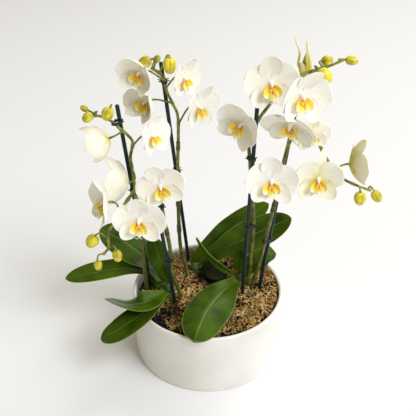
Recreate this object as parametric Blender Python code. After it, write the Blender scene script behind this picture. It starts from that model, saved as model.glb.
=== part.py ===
"""A potted moth orchid: three plants with five staked flower spikes, planted together in a round pot.

The origin is the centre of the pot's underside, +Z is up and the arrangement's front faces -Y.
Every size and place below is in millimetres; solid() turns them to metres.
"""

import math

import bmesh
import bpy
from mathutils import Vector

MM = 0.001
CLEARANCE = 0.4  # room between a buried or passing piece and what surrounds it

POT_RADIUS = 100.0
POT_HEIGHT = 91.0
POT_WALL = 5.0
POT_FLOOR = 6.0
POT_RIM_ROUNDING = 2.5
POT_FOOT_ROUNDING = 2.0
ROUND_SEGMENTS = 40

BARK_TOP = 79.0
MOSS_RADIUS = 90.0
MOSS_CENTRE = (2.5, 2.5)
MOSS_UNDERSIDE = BARK_TOP + CLEARANCE
MOSS_MEAN_TOP = 85.5
MOSS_RISE_BACK = 1.6  # how much higher the moss lies at the back and at the right than in the middle

STAKE_RADIUS = 2.4
STAKE_FOOT_HEIGHT = 20.0
STEM_FOOT_HEIGHT = 73.0
STEM_FOOT_RADIUS = 2.6
STEM_TIP_RADIUS = 1.3
PEDICEL_RADIUS = 1.1
TIE_RADIUS = 0.8

CROWN_RADIUS = 8.5
CROWN_FOOT = 70.0
CROWN_TOP = 99.0

LEAF_THICKNESS = 2.2
TEPAL_THICKNESS = 1.8
FLOWER_BACK = 1.7  # a pedicel stops this far behind the point where the tepals meet

# Stakes: where each one stands at STAKE_FOOT_HEIGHT, and its rounded top.
STAKES = {
    "back": ((-21, 65), (-54, 48, 384)),
    "left": ((-71, 6), (-100, -6, 354)),
    "front": ((-36, -22), (-62, -32, 262)),
    "inner": ((43, -18), (55, -4, 354)),
    "outer": ((62, 4), (99, 0, 351)),
}

# Flower spikes: each stem's centre line, from just above the bark to its youngest bud.
STEMS = {
    "back": [
        (-26, 27, 84), (-31, 38, 99), (-38, 51, 124), (-39, 50, 194), (-38, 48, 248), (-36, 46, 292),
        (-36, 44, 319), (-41, 44, 333), (-47, 44, 347), (-50, 44, 358), (-51, 43, 366), (-56, 42, 373),
        (-65, 41, 379),
    ],
    "left": [
        (-81, -2, 84), (-82, -3, 110), (-83, -5, 161), (-86, -7, 231), (-88, -8, 270), (-89, -10, 290),
        (-85, -11, 310), (-91, -12, 321), (-98, -13, 328), (-105, -13, 336), (-117, -14, 343),
        (-127, -15, 345),
    ],
    "front": [
        (-35, -18, 84), (-38, -19, 102), (-45, -21, 130), (-47, -21, 171), (-52, -22, 209),
        (-55, -23, 235), (-60, -24, 256), (-68, -30, 268), (-78, -42, 270), (-90, -54, 259), (-102, -62, 241),
        (-113, -66, 222), (-113, -68, 206), (-120, -70, 196),
    ],
    "inner": [
        (53, 6, 84), (55, 3, 110), (56, 1, 141), (57, -3, 199), (54, -2, 235), (50, -1, 276),
        (48, 1, 308), (57, 2, 331), (70, 3, 351), (85, 3, 371), (101, 3, 384), (118, 3, 390),
        (134, 4, 395), (146, 4, 401),
    ],
    "outer": [
        (59, 4, 84), (63, 2, 108), (67, 0, 130), (72, -4, 164), (82, -5, 231), (88, -5, 278),
        (93, -5, 305), (99, -4, 319), (107, -3, 324), (117, -3, 320), (124, -4, 311), (130, -8, 301),
        (136, -13, 291), (143, -18, 282), (150, -22, 275), (158, -25, 269), (173, -28, 263), (188, -30, 258),
    ],
}

# Flowers: spike, centre, yaw (0 faces the front, + turns right), pitch (+ looks up), roll, width,
# cupping (degrees that the rim leans forward) and the share of the stem's length where it branches off.
FLOWERS = {
    "flower_back_1": ("back", (-73, 4, 387), -28, -6, -14, 54, 36, 0.93),
    "flower_back_2": ("back", (-71, 34, 341), -36, 0, -12, 58, 42, 0.84),
    "flower_back_3": ("back", (-28, 36, 369), 50, -4, -12, 50, 18, 0.90),
    "flower_back_4": ("back", (-12, 26, 338), 50, -4, -12, 58, 20, 0.75),
    "flower_left_1": ("left", (-63, -20, 323), 54, 6, -10, 50, 22, 0.79),
    "flower_left_2": ("left", (-110, -24, 321), -88, -22, 10, 60, 44, 0.87),
    "flower_left_3": ("left", (-93, -20, 264), -98, -4, 8, 66, 34, 0.70),
    "flower_front_1": ("front", (-52, -50, 276), 2, -2, 20, 57, 12, 0.66),
    "flower_front_2": ("front", (-74, -82, 252), -3, 0, 0, 60, 14, 0.76),
    "flower_front_3": ("front", (-109, -74, 269), -66, 4, 4, 60, 24, 0.82),
    "flower_inner_1": ("inner", (67, -18, 383), 5, 2, 4, 63, 15, 0.82),
    "flower_inner_2": ("inner", (38, -34, 344), -40, -4, -20, 60, 26, 0.62),
    "flower_inner_3": ("inner", (70, -52, 283), -3, 10, 0, 60, 16, 0.42),
    "flower_inner_4": ("inner", (94, -54, 384), 25, -4, -10, 65, 26, 0.91),
    "flower_inner_5": ("inner", (111, 30, 375), -29, 76, 0, 80, 76, 0.88),
    "flower_outer_1": ("outer", (89, -38, 346), -28, -38, -2, 66, 20, 0.62),
    "flower_outer_2": ("outer", (122, -48, 284), -2, -2, 0, 58, 16, 0.80),
    "flower_outer_3": ("outer", (161, -25, 290), 92, 5, 0, 60, 28, 0.88),
    "flower_outer_4": ("outer", (114, -24, 327), 8, -5, 10, 43, 10, 0.66),
}

# Buds: spike, centre, the way the tip points, length, width and where its stalk leaves the stem.
BUDS = {
    "back": [
        ((-71, 38, 387), (-1, 0, -0.4), 15, 13, 0.99),
        ((-58, 46, 388), (0.3, 0.4, 0.3), 10, 8, 0.97),
        ((-43, 34, 384), (0, 0, -1), 19, 15, 0.965),
    ],
    "left": [
        ((-109, -19, 348), (-0.3, -0.2, -0.6), 15, 13.5, 0.95),
        ((-131, -19, 344), (-0.6, -0.5, -0.3), 13, 11, 0.99),
        ((-135, -13, 352), (-0.8, 0.2, 0.3), 9, 7, 0.995),
    ],
    "front": [
        ((-132, -66, 212), (-0.5, 0, -0.8), 17, 14.5, 0.93),
        ((-104, -70, 194), (0.1, 0, -1), 15, 11.5, 0.965),
        ((-127, -72, 182), (0, 0, -1), 13, 9.5, 0.995),
    ],
    "inner": [
        ((125, -8, 387), (0.6, -0.3, -0.5), 19, 16, 0.93),
        ((131, 15, 396), (0.7, 0.5, -0.2), 14, 12, 0.94),
        ((155, 4, 400), (1, 0, -0.15), 14, 10, 0.99),
    ],
    "outer": [
        ((176, -33, 249), (0.1, 0, -1), 17, 14, 0.94),
        ((195, -33, 252), (0.5, -0.2, -0.8), 15, 12, 0.99),
    ],
}

# Ties: the heights at which each spike is clipped to its stake.
TIES = {
    "back": {"upper": 362, "lower": 240},
    "left": {"upper": 334, "lower": 243},
    "front": {"upper": 232, "lower": 153},
    "inner": {"upper": 286, "lower": 193},
    "outer": {"lower": 169},
}

CROWNS = {"left": (-54, -6), "back": (-18, 41), "right": (45, 17)}

# Leaves: spine from base to tip, width, the way the upper face looks at the base and at the tip,
# and how sharply the base is folded (degrees that each half is lifted). A sixth number keeps a twist
# for the last part of the blade.
LEAVES = {
    "leaf_left_1": (
        [(-63, 0, 90), (-81, 20, 99), (-109, 26, 102), (-146, 19, 101), (-190, 7, 99)],
        33, (0, -0.1, 1), (0, -0.35, 1), 25,
    ),
    "leaf_left_2": (
        [(-62, 4, 97), (-78, 26, 110), (-108, 42, 130), (-146, 52, 148)],
        48, (0.2, -0.4, 1), (0, -0.6, 1), 25,
    ),
    "leaf_left_3": (
        [(-53, 4, 96), (-59, 6, 118), (-65, 9, 142), (-72, 9, 166)],
        30, (-0.1, -1, 0.3), (-0.3, -1, 0.3), 18,
    ),
    "leaf_left_4": (
        [(-55, -20, 98), (-68, -40, 104), (-84, -53, 107), (-106, -50, 104), (-129, -37, 101)],
        42, (0, -0.3, 1), (0.2, 0.6, 0.8), 20, 1.3,
    ),
    "leaf_left_5": (
        [(-55, -20, 88), (-75, -48, 93), (-92, -67, 93), (-112, -77, 84), (-133, -76, 71)],
        38, (0, -0.1, 1), (-0.4, -0.3, 1), 20,
    ),
    "leaf_right_1": (
        [(41, 8, 93), (20, -26, 103), (0, -62, 105), (-10, -88, 101), (-16, -108, 96)],
        54, (0, -0.1, 1), (0.16, -0.3, 1), 28,
    ),
    "leaf_right_2": (
        [(50, 25, 91), (61, 27, 106), (76, 30, 121), (92, 32, 121)],
        30, (0, -1, 0.6), (0, -0.5, 1), 20,
    ),
    "leaf_right_3": (
        [(43, 26, 95), (42, 28, 110), (45, 29, 132)],
        17, (0, -1, 0.3), (-0.4, -1, 0.2), 25,
    ),
    "leaf_right_4": (
        [(35, 17, 98), (19, 10, 115), (0, 4, 143), (-14, 0, 170)],
        17, (-0.3, -0.5, 0.6), (-0.8, -0.4, 0.1), 35,
    ),
    "leaf_back_1": (
        [(-21, 53, 88), (-9, 58, 107), (16, 67, 124), (51, 76, 149), (84, 84, 169)],
        34, (0.1, -0.8, 0.7), (-0.2, -0.7, 0.8), 28,
    ),
    "leaf_back_2": (
        [(-5, 43, 92), (11, 47, 112), (44, 50, 130), (82, 52, 150), (112, 52, 166)],
        44, (0.1, -0.7, 0.7), (-0.2, -0.7, 0.8), 24,
    ),
    "leaf_back_3": (
        [(-11, 30, 91), (3, 26, 99), (26, 18, 98)],
        30, (0, -0.5, 1), (0, -0.4, 1), 20,
    ),
}

# A flower's five tepals: direction round its face, length and half width as shares of half its width.
TEPALS = ((90, 1.08, 0.40), (9, 1.02, 0.63), (-47, 0.98, 0.36), (-133, 0.98, 0.36), (171, 1.02, 0.63))


def clear_scene():
    for old in list(bpy.data.objects):
        bpy.data.objects.remove(old, do_unlink=True)


def finish_material(name, colour, roughness, metallic=0.0):
    """A Principled material with one linear colour."""
    material = bpy.data.materials.new(name)
    material.use_nodes = True
    shader = material.node_tree.nodes["Principled BSDF"]
    shader.inputs["Base Color"].default_value = (*colour, 1)
    shader.inputs["Roughness"].default_value = roughness
    shader.inputs["Metallic"].default_value = metallic
    return material


def solid(name, points, faces, material=None, crease=40):
    """A mesh object from points in millimetres, its faces turned outwards and shaded smooth."""
    build = bmesh.new()
    corners = [build.verts.new(Vector(point) * MM) for point in points]
    for face in faces:
        build.faces.new([corners[index] for index in face])
    bmesh.ops.recalc_face_normals(build, faces=build.faces)
    if build.calc_volume(signed=True) < 0:
        bmesh.ops.reverse_faces(build, faces=build.faces)
    mesh = bpy.data.meshes.new(name)
    build.to_mesh(mesh)
    build.free()
    mesh.shade_smooth()
    mesh.set_sharp_from_angle(angle=math.radians(crease))
    if material:
        mesh.materials.append(material)
    made = bpy.data.objects.new(name, mesh)
    bpy.context.scene.collection.objects.link(made)
    return made


def blend(start, end, share):
    return start + (end - start) * share


def ease(share):
    """0 to 1 with a soft start and end."""
    share = min(1.0, max(0.0, share))
    return share * share * (3 - 2 * share)


def smooth_path(points, count):
    """`count` places an equal length apart on the Catmull-Rom curve through `points`."""
    knots = [Vector(point) for point in points]
    knots = [2 * knots[0] - knots[1], *knots, 2 * knots[-1] - knots[-2]]
    fine = []
    for a, b, c, d in zip(knots, knots[1:], knots[2:], knots[3:]):
        for step in range(12):
            t = step / 12
            bend, twist = 2 * a - 5 * b + 4 * c - d, 3 * b - 3 * c + d - a
            fine.append(0.5 * (2 * b + (c - a) * t + bend * t**2 + twist * t**3))
    fine.append(knots[-2])
    reached = [0.0]
    for a, b in zip(fine, fine[1:]):
        reached.append(reached[-1] + (b - a).length)
    places = []
    for index in range(count):
        target = reached[-1] * index / (count - 1)
        span = next(i for i in range(1, len(fine)) if reached[i] >= target - 1e-9)
        share = (target - reached[span - 1]) / (reached[span] - reached[span - 1])
        places.append(blend(fine[span - 1], fine[span], min(1.0, share)))
    return places


def tangents(path):
    ends = [path[0], *path, path[-1]]
    return [(after - before).normalized() for before, after in zip(ends, ends[2:])]


def ring_faces(rings, sides, closed=False):
    """Quads between `rings` rings of `sides` points, numbered ring by ring."""
    faces = []
    for ring in range(rings if closed else rings - 1):
        low, high = ring * sides, (ring + 1) % rings * sides
        for side in range(sides):
            beside = (side + 1) % sides
            faces.append((low + side, low + beside, high + beside, high + side))
    return faces


def tube(name, path, radii, sides, material=None, closed=False):
    """A round bar along `path`, its section carried along without twisting."""
    if closed:
        ways = [(after - before).normalized() for before, after in zip(path[-1:] + path, path[1:] + path[:1])]
    else:
        ways = tangents(path)
    across = ways[0].orthogonal().normalized()
    points = []
    for place, way, radius in zip(path, ways, radii):
        across = (across - way * across.dot(way)).normalized()
        beside = way.cross(across)
        for side in range(sides):
            angle = math.tau * side / sides
            points.append(place + (across * math.cos(angle) + beside * math.sin(angle)) * radius)
    faces = ring_faces(len(path), sides, closed)
    if not closed:
        faces += [tuple(range(sides)), tuple(range(len(points) - sides, len(points)))]
    return solid(name, points, faces, material)


def turned(name, profile, segments, material, centre=(0, 0), top=None):
    """A turned solid whose profile starts and ends on the axis; `top` may lift a point by its place."""
    points = [Vector((*centre, profile[0][1]))]
    for radius, height in profile[1:-1]:
        for segment in range(segments):
            angle = math.tau * segment / segments
            x = centre[0] + radius * math.cos(angle)
            y = centre[1] + radius * math.sin(angle)
            points.append(Vector((x, y, height + (top(x, y) if top and height > MOSS_UNDERSIDE else 0))))
    points.append(Vector((*centre, profile[-1][1])))
    faces = []
    for low, high, *rest in ring_faces(len(profile) - 2, segments):
        faces.append((low + 1, high + 1, *(index + 1 for index in rest)))
    last = len(points) - 1
    for segment in range(segments):
        beside = (segment + 1) % segments
        faces.append((0, 1 + segment, 1 + beside))
        faces.append((last, last - segments + segment, last - segments + beside))
    return solid(name, points, faces, material)


def rounded_corner(centre, radius, start, end, steps=3):
    """Profile points on an arc, its angles in degrees from the outward direction."""
    angles = [math.radians(blend(start, end, step / steps)) for step in range(steps + 1)]
    return [(centre[0] + radius * math.cos(a), centre[1] + radius * math.sin(a)) for a in angles]


def helper_group(name, objects):
    """A collection of guide solids, which a Boolean reads and no render shows."""
    group = bpy.data.collections.new(name)
    bpy.context.scene.collection.children.link(group)
    for guide in objects:
        bpy.context.scene.collection.objects.unlink(guide)
        group.objects.link(guide)
        guide.hide_render = True
        guide.display_type = "WIRE"
    return group


def combine(target, group, operation):
    modifier = target.modifiers.new(operation.lower(), "BOOLEAN")
    modifier.operand_type = "COLLECTION"
    modifier.collection = group
    modifier.operation = operation
    modifier.solver = "EXACT"


def make_pot(material):
    inner = POT_RADIUS - POT_WALL
    lip = POT_RIM_ROUNDING
    foot = POT_FOOT_ROUNDING
    profile = [(0, 0)]
    profile += rounded_corner((POT_RADIUS - foot, foot), foot, -90, 0)
    profile += rounded_corner((POT_RADIUS - lip, POT_HEIGHT - lip), lip, 0, 180, 6)
    profile += [(inner, POT_FLOOR), (0, POT_FLOOR)]
    return turned("pot", profile, ROUND_SEGMENTS, material)


def stake_place(spike, height):
    """A stake's axis at a height."""
    foot, top = STAKES[spike]
    foot, top = Vector((*foot, STAKE_FOOT_HEIGHT)), Vector(top)
    return blend(foot, top, (height - foot.z) / (top.z - foot.z))


def make_stake(spike, material):
    top = Vector(STAKES[spike][1])
    foot = stake_place(spike, STAKE_FOOT_HEIGHT)
    way = (top - foot).normalized()
    path = [foot, top - way * 1.9, top - way * 0.7, top]
    return tube("stake_" + spike, path, [STAKE_RADIUS, STAKE_RADIUS, 1.8, 0.8], 10, material)


def stem_path(spike):
    """The stem's centre line with a foot pushed straight down into the medium."""
    points = [Vector(point) for point in STEMS[spike]]
    foot = Vector((points[0].x, points[0].y, STEM_FOOT_HEIGHT))
    return smooth_path([foot, *points], 22)


def stem_radii(count):
    return [blend(STEM_FOOT_RADIUS, STEM_TIP_RADIUS, (index / (count - 1)) ** 2) for index in range(count)]


def face_axes(yaw, pitch, roll):
    """The right, up and outward directions of a flower's face."""
    yaw, pitch, roll = (math.radians(angle) for angle in (yaw, pitch, roll))
    out = Vector((math.sin(yaw) * math.cos(pitch), -math.cos(yaw) * math.cos(pitch), math.sin(pitch)))
    right = Vector((0, 0, 1)).cross(out).normalized()
    up = out.cross(right)
    return (
        right * math.cos(roll) + up * math.sin(roll),
        up * math.cos(roll) - right * math.sin(roll),
        out,
    )


def pedicel_path(start, centre, out):
    """From the stem, round to the back of a flower."""
    behind = centre - out * FLOWER_BACK
    return smooth_path([start, blend(start, behind - out * 9, 0.75), behind - out * 3.5, behind], 5)


def ovoid(name, centre, way, length, width):
    way = Vector(way).normalized()
    steps = 5
    path, radii = [], []
    for step in range(steps + 1):
        angle = math.pi * blend(0.08, 0.93, step / steps)
        path.append(Vector(centre) - way * (length / 2 * math.cos(angle)))
        radii.append(width / 2 * math.sin(angle) ** 0.8)
    return tube(name, path, radii, 7)


def make_spike(spike, material):
    """Stem, flower stalks and buds, which grew as one piece."""
    path = stem_path(spike)
    stem = tube("spike_" + spike, path, stem_radii(len(path)), 6, material)
    guides = []
    for name, (owner, centre, yaw, pitch, roll, _, _, branch) in FLOWERS.items():
        if owner == spike:
            start = path[round(branch * (len(path) - 1))]
            stalk = pedicel_path(start, Vector(centre), face_axes(yaw, pitch, roll)[2])
            guides.append(tube("stalk_of_" + name, stalk, [PEDICEL_RADIUS] * len(stalk), 5))
    for index, (centre, way, length, width, branch) in enumerate(BUDS[spike]):
        start = path[round(branch * (len(path) - 1))]
        neck = Vector(centre) - Vector(way).normalized() * (length * 0.45)
        stalk = [start, blend(start, neck, 0.55), neck, Vector(centre)]
        guides.append(tube(f"stalk_of_{spike}_bud_{index}", smooth_path(stalk, 4), [PEDICEL_RADIUS] * 4, 5))
        guides.append(ovoid(f"{spike}_bud_{index}", centre, way, length, width))
    combine(stem, helper_group("limbs_of_" + spike, guides), "UNION")
    return stem


def tepal_reach(angle):
    """How far the flower's outline lies from its centre: the farthest of five ellipses through it."""
    reach = 0.3
    for direction, length, half_width in TEPALS:
        turn = math.radians(angle - direction)
        if math.cos(turn) > 0:
            along, across = half_width * math.cos(turn), length / 2 * math.sin(turn)
            reach = max(reach, length * half_width**2 * math.cos(turn) / (along**2 + across**2))
    return reach


def outline_angles():
    """Five directions to each tepal: the notch beside it, then four across its rounded end."""
    notches = (-90, -21, 58, 122, 201, 270)
    return [blend(a, b, share) for a, b in zip(notches, notches[1:]) for share in (0, 0.22, 0.42, 0.6, 0.8)]


def make_flower(name, material):
    """Five tepals and the lip as one thin shell, domed in the middle where the lip and column stand."""
    _, centre, yaw, pitch, roll, width, cupping, _ = FLOWERS[name]
    right, up, out = face_axes(yaw, pitch, roll)
    angles = outline_angles()
    half = width / 2
    face = TEPAL_THICKNESS / 2

    def place(angle, reach, lift):
        """A point `reach` along the cupped sheet and `lift` off it, square to the sheet."""
        lean = math.radians(cupping) * reach / half
        slope = lean + math.atan(lean)
        across = reach * math.cos(lean) - lift * math.sin(slope)
        turn = math.radians(angle)
        flat = right * (math.cos(turn) * across) + up * (math.sin(turn) * across)
        return Vector(centre) + flat + out * (reach * math.sin(lean) + lift * math.cos(slope))

    points = [place(0, 0, 5)]
    reaches = [tepal_reach(angle) * half for angle in angles]
    for most, share, lift in ((3, 0.25, 5), (7, 0.5, 1.5)):
        for angle, reach in zip(angles, reaches):
            lip = 5 * max(0.0, -math.sin(math.radians(angle))) ** 2 * min(1.0, reach / half + 0.3)
            points.append(place(angle, min(most, share * reach), lift + lip))
    for share, lift in ((0.72, face), (1, 0), (0.72, -face), (0.3, -face)):
        points += [place(angle, share * reach, lift) for angle, reach in zip(angles, reaches)]
    points.append(place(0, 0, -face))
    sides = len(angles)
    faces = [tuple(index + 1 for index in ring) for ring in ring_faces(6, sides)]
    last = len(points) - 1
    for side in range(sides):
        beside = (side + 1) % sides
        faces.append((0, 1 + side, 1 + beside))
        faces.append((last, last - sides + side, last - sides + beside))
    return solid(name, points, faces, material, 60)


# A leaf is a shallow trough near its tip, 8 degrees to a side, but this one droops at both sides.
ARCHED = {"leaf_right_1": -14}


def blade_share(along):
    """A leaf's width at a share of its length, as a share of its greatest width."""
    shoulder = 0.34 + 0.66 * ease(along / 0.55)
    past = max(0.0, (along - 0.6) / 0.4)
    return shoulder * math.sqrt(max(0.0, 1 - past**2.3))


def make_leaf(name, material):
    """A strap leaf: folded at its base, opening towards a rounded tip."""
    spine, width, face_base, face_tip, fold, *twist = LEAVES[name]
    late = twist[0] if twist else 1
    stations = (0, 0.09, 0.19, 0.31, 0.44, 0.57, 0.7, 0.81, 0.9, 0.965, 1)
    path = smooth_path(spine, 101)
    path = [path[round(along * 100)] for along in stations]
    points = []
    for along, place, way in zip(stations[:-1], path, tangents(path)):
        face = Vector(face_base).normalized().lerp(Vector(face_tip).normalized(), ease(along) ** late)
        across = way.cross(face).normalized()
        normal = across.cross(way)
        half = width / 2 * blade_share(along)
        lift = math.radians(blend(fold, ARCHED.get(name, 8), ease(along * 1.6)))
        for position in (-1, -0.55, 0, 0.55, 1, 0.55, 0, -0.55):
            upper = len(points) % 8 <= 4
            thick = 0 if abs(position) == 1 else LEAF_THICKNESS / 2 * (1 if upper else -1)
            side = across * (half * position * math.cos(lift))
            rise = half * abs(position) * math.sin(lift) + thick
            points.append(place + side + normal * rise)
    faces = ring_faces(len(stations) - 1, 8)
    faces.append(tuple(range(8)))
    tip = len(points)
    points.append(path[-1])
    faces += [(tip, tip - 8 + side, tip - 8 + (side + 1) % 8) for side in range(8)]
    return solid(name, points, faces, material, 60)


def make_crown(name, material):
    middle = (CROWN_TOP + CROWN_FOOT) / 2
    profile = [
        (0, CROWN_FOOT), (CROWN_RADIUS * 0.7, CROWN_FOOT), (CROWN_RADIUS, middle),
        (CROWN_RADIUS * 0.8, CROWN_TOP - 5), (CROWN_RADIUS * 0.45, CROWN_TOP - 1), (0, CROWN_TOP),
    ]
    return turned("crown_" + name, profile, 14, material, CROWNS[name])


def make_tie(spike, level, material):
    """A closed loop round a stake and the stem beside it."""
    height = TIES[spike][level]
    stake = stake_place(spike, height)
    path = stem_path(spike)
    stem = min(path, key=lambda place: abs(place.z - height) + (place - stake).length * 0.2)
    for low, high in zip(path, path[1:]):
        if low.z <= height <= high.z and (low - stake).length < 25:
            stem = blend(low, high, (height - low.z) / (high.z - low.z))
            break
    way = (stem - stake).normalized()
    beside = Vector((0, 0, 1)).cross(way).normalized()
    reach = STAKE_RADIUS + TIE_RADIUS + CLEARANCE + 0.3
    loop = []
    for centre, start in ((stake, 90), (stem, -90)):
        for step in range(5):
            angle = math.radians(start + 45 * step)
            loop.append(centre + (way * math.cos(angle) + beside * math.sin(angle)) * reach)
    return tube(f"tie_{spike}_{level}", loop, [TIE_RADIUS] * len(loop), 5, material, closed=True)


def moss_top(x, y):
    """The moss lies a little higher at the back and right, with low swells."""
    slope = MOSS_RISE_BACK * (x + y) / MOSS_RADIUS
    return slope + 0.9 * math.sin(x / 17) * math.cos(y / 13)


def make_growing_medium(bark, moss):
    """Bark filling the pot and a layer of moss over it, both pierced by stakes, stems and crowns."""
    inner = POT_RADIUS - POT_WALL - CLEARANCE
    floor = POT_FLOOR + CLEARANCE
    bark_body = turned(
        "bark_medium", [(0, floor), (inner, floor), (inner, BARK_TOP), (0, BARK_TOP)], ROUND_SEGMENTS, bark
    )
    top = MOSS_MEAN_TOP
    profile = [
        (0, MOSS_UNDERSIDE), (MOSS_RADIUS - 2, MOSS_UNDERSIDE), (MOSS_RADIUS, top - 1.5),
        (MOSS_RADIUS - 4, top), (MOSS_RADIUS * 0.55, top), (0, top),
    ]
    moss_body = turned("moss_dressing", profile, 30, moss, MOSS_CENTRE, moss_top)
    cutters = []
    for spike in STAKES:
        high = stake_place(spike, POT_HEIGHT + 8)
        low = stake_place(spike, STAKE_FOOT_HEIGHT - CLEARANCE)
        cutters.append(tube("hole_of_stake_" + spike, [low, high], [STAKE_RADIUS + CLEARANCE] * 2, 10))
        start = stem_path(spike)
        radius = STEM_FOOT_RADIUS + CLEARANCE
        foot = start[0] - Vector((0, 0, CLEARANCE))
        cutters.append(tube("hole_of_stem_" + spike, [foot, *start[1:4]], [radius] * 4, 8))
    for name, (x, y) in CROWNS.items():
        ends = [Vector((x, y, CROWN_FOOT - CLEARANCE)), Vector((x, y, CROWN_TOP + 3))]
        cutters.append(tube("hole_of_crown_" + name, ends, [CROWN_RADIUS + CLEARANCE] * 2, 14))
    holes = helper_group("holes", cutters)
    combine(bark_body, holes, "DIFFERENCE")
    combine(moss_body, holes, "DIFFERENCE")


def main():
    clear_scene()
    make_pot(finish_material("white satin glaze", (0.84, 0.83, 0.80), 0.35))
    make_growing_medium(
        finish_material("dark bark", (0.035, 0.022, 0.014), 0.9),
        finish_material("dried sphagnum moss", (0.52, 0.35, 0.16), 0.9),
    )
    stake_material = finish_material("dark green plastic", (0.006, 0.028, 0.028), 0.35)
    spike_material = finish_material("olive stem", (0.13, 0.14, 0.03), 0.45)
    tie_material = finish_material("dark tie plastic", (0.01, 0.02, 0.02), 0.4)
    for spike in STAKES:
        make_stake(spike, stake_material)
        make_spike(spike, spike_material)
        for level in TIES[spike]:
            make_tie(spike, level, tie_material)
    crown_material = finish_material("pale crown", (0.12, 0.19, 0.04), 0.5)
    for name in CROWNS:
        make_crown(name, crown_material)
    leaf_material = finish_material("leaf", (0.035, 0.105, 0.012), 0.35)
    for name in LEAVES:
        make_leaf(name, leaf_material)
    petal_material = finish_material("white petal", (0.85, 0.82, 0.72), 0.5)
    for name in FLOWERS:
        make_flower(name, petal_material)


main()
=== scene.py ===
# %% [markdown]
# # A potted moth orchid
# Three white moth orchids stand in one low ceramic cover pot. This lesson loads the plain solids
# that fix every place and size, and then makes each piece again as it looks: petals thin enough
# to let light through, waxy leaves with a midrib, curly dry moss, glazed clay and dark plastic.

# %% Load the frame
import math
from functools import partial

import bpy
import numpy as np
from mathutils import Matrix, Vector


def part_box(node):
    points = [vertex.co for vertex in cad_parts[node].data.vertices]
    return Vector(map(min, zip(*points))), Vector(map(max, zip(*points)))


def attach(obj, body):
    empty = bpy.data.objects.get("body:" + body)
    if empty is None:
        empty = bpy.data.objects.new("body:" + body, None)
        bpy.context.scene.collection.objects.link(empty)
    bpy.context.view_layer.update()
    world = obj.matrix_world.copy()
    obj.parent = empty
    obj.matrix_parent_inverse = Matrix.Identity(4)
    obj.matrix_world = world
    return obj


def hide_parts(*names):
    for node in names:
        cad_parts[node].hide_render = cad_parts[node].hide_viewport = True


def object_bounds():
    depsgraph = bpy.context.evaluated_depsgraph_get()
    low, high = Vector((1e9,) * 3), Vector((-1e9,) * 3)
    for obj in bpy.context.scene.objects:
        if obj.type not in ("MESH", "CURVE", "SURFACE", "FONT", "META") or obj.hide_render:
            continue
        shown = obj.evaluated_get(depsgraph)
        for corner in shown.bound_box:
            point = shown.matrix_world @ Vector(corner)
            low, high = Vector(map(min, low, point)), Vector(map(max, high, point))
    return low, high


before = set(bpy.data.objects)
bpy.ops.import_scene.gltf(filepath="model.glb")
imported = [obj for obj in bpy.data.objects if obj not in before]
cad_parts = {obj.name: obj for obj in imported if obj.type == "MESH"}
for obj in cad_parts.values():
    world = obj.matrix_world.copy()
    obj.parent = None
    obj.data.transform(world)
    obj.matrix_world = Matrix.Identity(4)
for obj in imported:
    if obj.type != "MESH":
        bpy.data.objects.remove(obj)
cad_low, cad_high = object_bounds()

print("solids in the frame:", len(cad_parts))
# %% [markdown]
# ## Camera, floor and light
# The camera stands a little above the flowers and looks down at them, as someone does who
# has just put the pot on a table. The light is a bright room with its window on the right: a
# large soft panel high at the front right, a weaker one behind on the same side, and a world that
# fills the shadows and is dimmer and warmer towards the left. A plain pale floor carries the
# contact shadow, so the pot stands on something.

# %% Camera
MM = 0.001


def add_object(name, data):
    made = bpy.data.objects.new(name, data)
    bpy.context.scene.collection.objects.link(made)
    return made


def make_camera(place, tilt, lens):
    camera = add_object("camera", bpy.data.cameras.new("camera"))
    camera.location = place
    camera.rotation_euler = (math.radians(tilt), 0, 0)
    camera.data.lens = lens
    camera.data.clip_start = 0.01
    bpy.context.scene.camera = camera
    return camera


camera = make_camera(place=(0.0004, -0.6323, 0.6141), tilt=57.76, lens=52.55)
bpy.context.scene.view_settings.view_transform = "Standard"
print("camera at", tuple(camera.location))

# %% Colours and nodes
# A Mix node's colour sockets share their names with its other sockets, so they go by number.
FACTOR, FIRST, SECOND, MIXED = 0, 6, 7, 2


def linear(hex_colour):
    """An sRGB hex colour as the linear RGBA that a shader reads."""
    shares = [int(hex_colour[i : i + 2], 16) / 255 for i in (1, 3, 5)]
    return (*[s / 12.92 if s <= 0.04045 else ((s + 0.055) / 1.055) ** 2.4 for s in shares], 1)


def feed(made, inputs):
    """Fills a node's inputs, each with a value or with a link; a node stands for its first output."""
    for name, value in inputs.items():
        if isinstance(value, bpy.types.Node):
            value = value.outputs[0]
        if isinstance(value, bpy.types.NodeSocket):
            made.id_data.links.new(value, made.inputs[name])
        else:
            made.inputs[name].default_value = value


def node(owner, kind, inputs=None, stops=None, **settings):
    """Adds a node to a material or a world; stops fill a colour ramp."""
    made = owner.node_tree.nodes.new("ShaderNode" + kind)
    for name, value in settings.items():
        setattr(made, name, value)
    feed(made, inputs or {})
    if stops:
        elements = made.color_ramp.elements
        while len(elements) < len(stops):
            elements.new(0.5)
        for element, (place, colour) in zip(elements, stops):
            element.position = place
            element.color = linear(colour)
    return made


def new_material(name, **values):
    """A material's Principled shader, with the values that are the same all over it."""
    material = bpy.data.materials.new(name)
    material.use_nodes = True
    shader = material.node_tree.nodes["Principled BSDF"]
    feed(shader, {socket.replace("_", " "): value for socket, value in values.items()})
    return material, shader


print("white reads as", linear("#ffffff"))

# %% Floor and lights
FLOOR_GAP = 0.0002  # keeps the floor's face and the pot's from lying in one plane


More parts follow.
